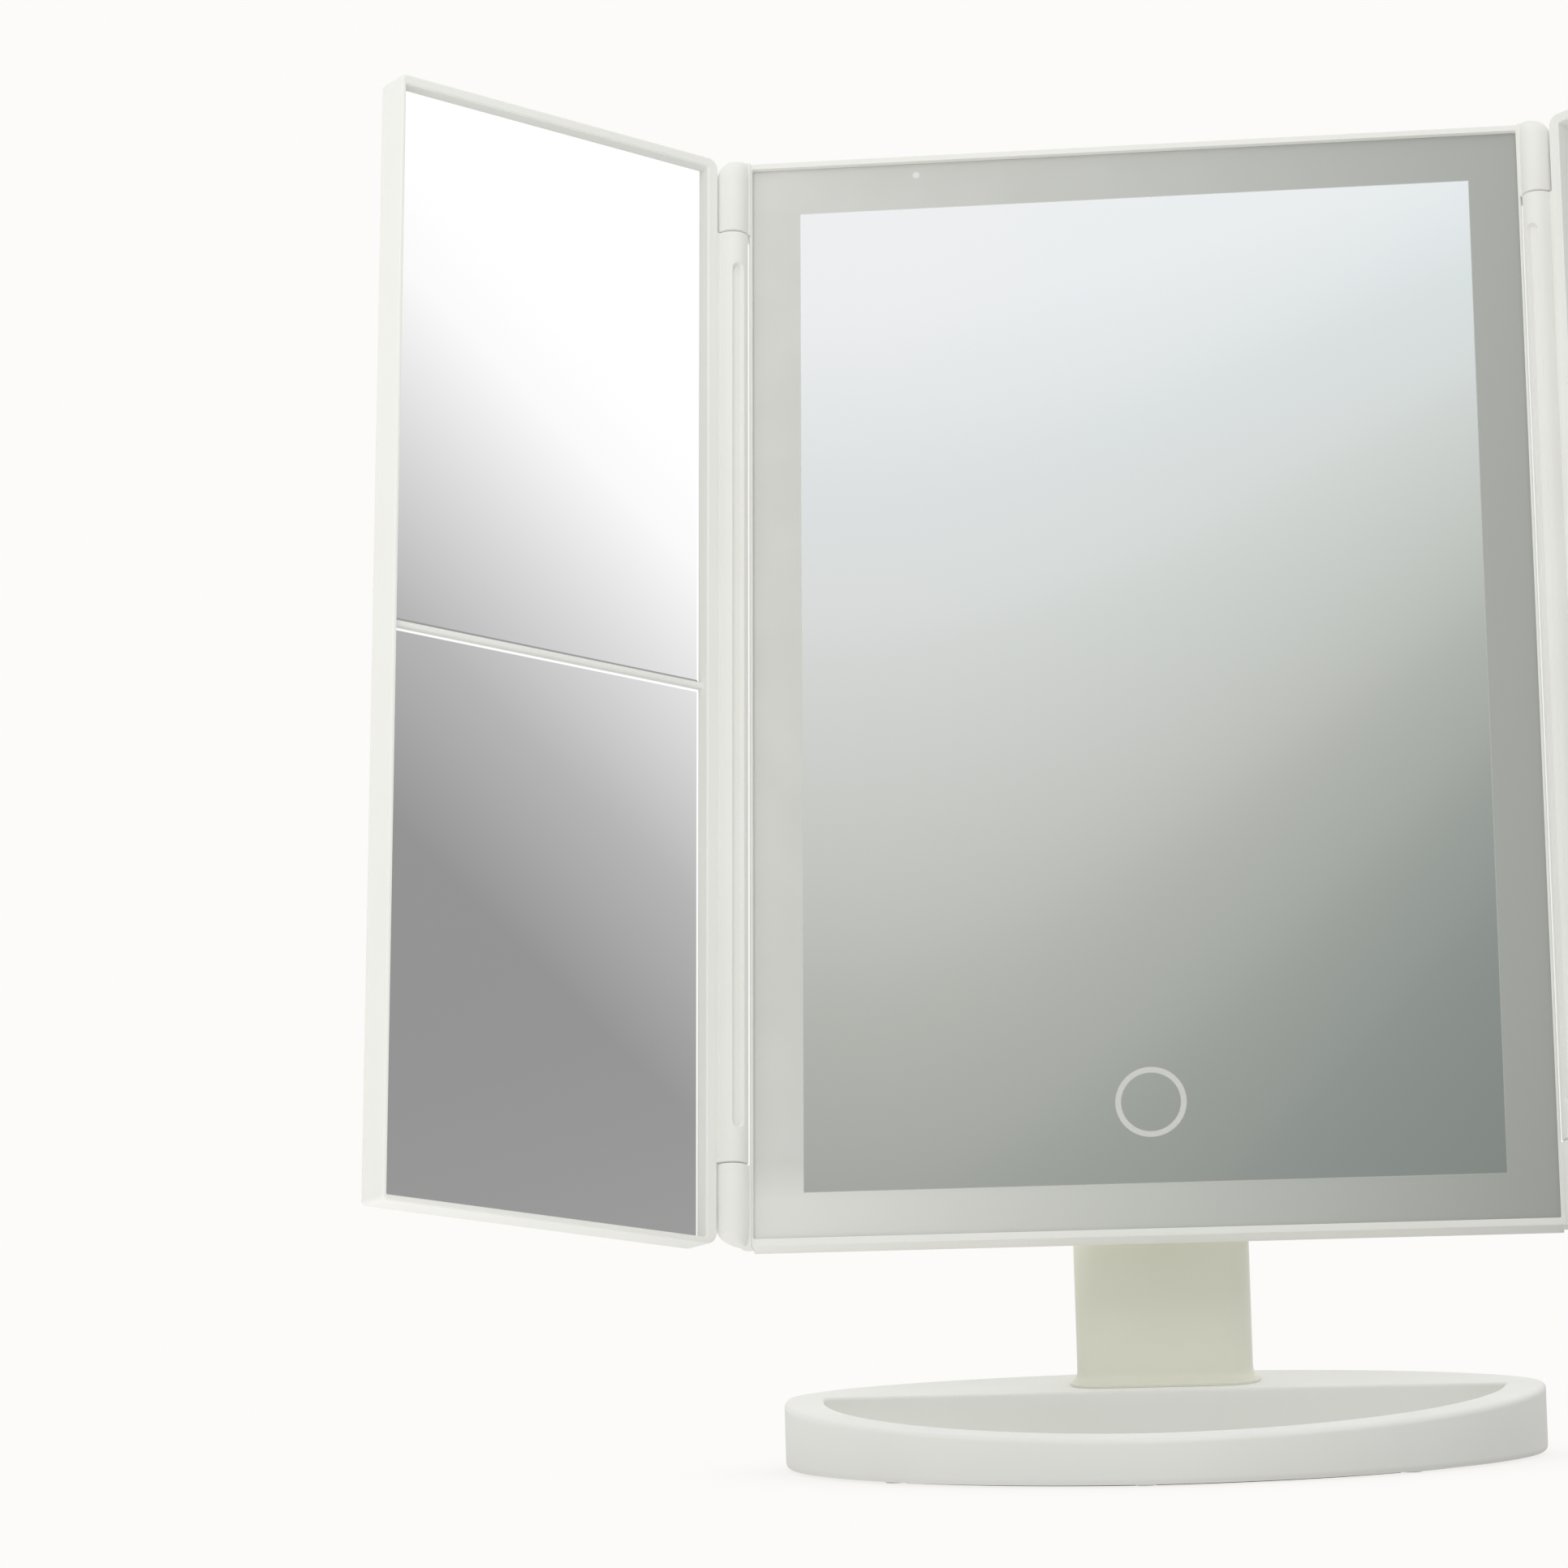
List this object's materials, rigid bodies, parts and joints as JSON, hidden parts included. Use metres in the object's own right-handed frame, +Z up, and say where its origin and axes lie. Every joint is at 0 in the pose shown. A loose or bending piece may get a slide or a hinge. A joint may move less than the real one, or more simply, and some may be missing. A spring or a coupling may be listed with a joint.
{
  "type": "trifold vanity mirror",
  "caption": "Lit vanity mirror with a touch-lit centre panel between two folding mirror wings, on a tilting neck and a half-moon tray base.",
  "frame": {"origin": "on the table, at the middle of the base's widest line, on the underside of the rubber pad", "axes": "+X to the viewer's right, -Y towards the viewer, +Z up"},
  "size_m": [0.3148, 0.1244, 0.2993],
  "materials": {
    "white_satin_plastic": "moulded, satin",
    "centre_mirror_glass": "silvered glass with a frosted border and touch ring",
    "wing_mirror_glass": "silvered glass, cut edges",
    "opal_plastic": "opal, light spreading",
    "light_strip": "flexible tape with light chips",
    "white_plate": "matt white",
    "dark_foam": "soft closed-cell foam",
    "black_rubber": "matt, fine grain",
    "black_plastic": "moulded, matt",
    "green_board": "coated board",
    "battery_jacket": "wrapped steel can",
    "copper_foil": "thin foil",
    "red_wire": "soft insulation",
    "grey_steel": "zinc-plated sheet",
    "bright_steel": "nickel-plated"
  },
  "bodies": {
    "stand": {"base_tray": "white_satin_plastic", "base_bottom_plate": "white_satin_plastic", "base_pad": "black_rubber", "weight_plate": "grey_steel", "base_screws": "bright_steel", "neck_core": "grey_steel", "neck_front_shell": "white_satin_plastic", "neck_rear_shell": "white_satin_plastic"},
    "head": {"centre_bezel": "white_satin_plastic", "rear_housing": "white_satin_plastic", "centre_mirror": "centre_mirror_glass", "touch_foil": "copper_foil", "diffuser_frame": "opal_plastic", "led_strip_top": "light_strip", "led_strip_bottom": "light_strip", "led_strip_left": "light_strip", "led_strip_right": "light_strip", "led_backplate": "white_plate", "foam_pad": "dark_foam", "driver_board": "green_board", "board_chips": "black_plastic", "usb_socket": "bright_steel", "switch_body": "black_plastic", "batteries": "battery_jacket", "battery_contacts": "bright_steel", "wire_harness": "red_wire", "housing_screws": "bright_steel", "tilt_bracket": "grey_steel", "bracket_screws": "bright_steel", "tilt_pin": "bright_steel", "tilt_nut": "bright_steel", "tilt_washers": "black_plastic", "left_hinge_pins": "bright_steel", "right_hinge_pins": "bright_steel"},
    "left_wing": {"left_wing_frame": "white_satin_plastic", "left_wing_back": "white_satin_plastic", "left_upper_mirror": "wing_mirror_glass", "left_lower_mirror": "wing_mirror_glass", "left_mirror_tape": "dark_foam", "left_hinge_barrel": "white_satin_plastic"},
    "right_wing": {"right_wing_frame": "white_satin_plastic", "right_wing_back": "white_satin_plastic", "right_mirror": "wing_mirror_glass", "right_mirror_tape": "dark_foam", "right_hinge_barrel": "white_satin_plastic"},
    "power_switch": {"switch_knob": "black_plastic"},
    "battery_door": {"battery_cover": "white_satin_plastic"}
  },
  "joints": [
    {"name": "head_tilt", "type": "hinge", "parent": "stand", "child": "head", "pos_m": [0, 0.013, 0.066], "axis": [-1, 0, 0], "range_deg": [-12, 20]},
    {"name": "left_wing_hinge", "type": "hinge", "parent": "head", "child": "left_wing", "pos_m": [-0.0885, 0.01158, 0.16719], "axis": [0, 0.2156, 0.9765], "range_deg": [-43.5, 136]},
    {"name": "right_wing_hinge", "type": "hinge", "parent": "head", "child": "right_wing", "pos_m": [0.0885, 0.01158, 0.16719], "axis": [0, -0.2156, -0.9765], "range_deg": [-43.5, 136]},
    {"name": "power_switch_slide", "type": "slide", "parent": "head", "child": "power_switch", "axis": [1, 0, 0], "range_m": [0, 0.003]},
    {"name": "battery_door_lift", "type": "slide", "parent": "head", "child": "battery_door", "axis": [0, 0.9765, -0.2156], "range_m": [0, 0.03]}
  ]
}
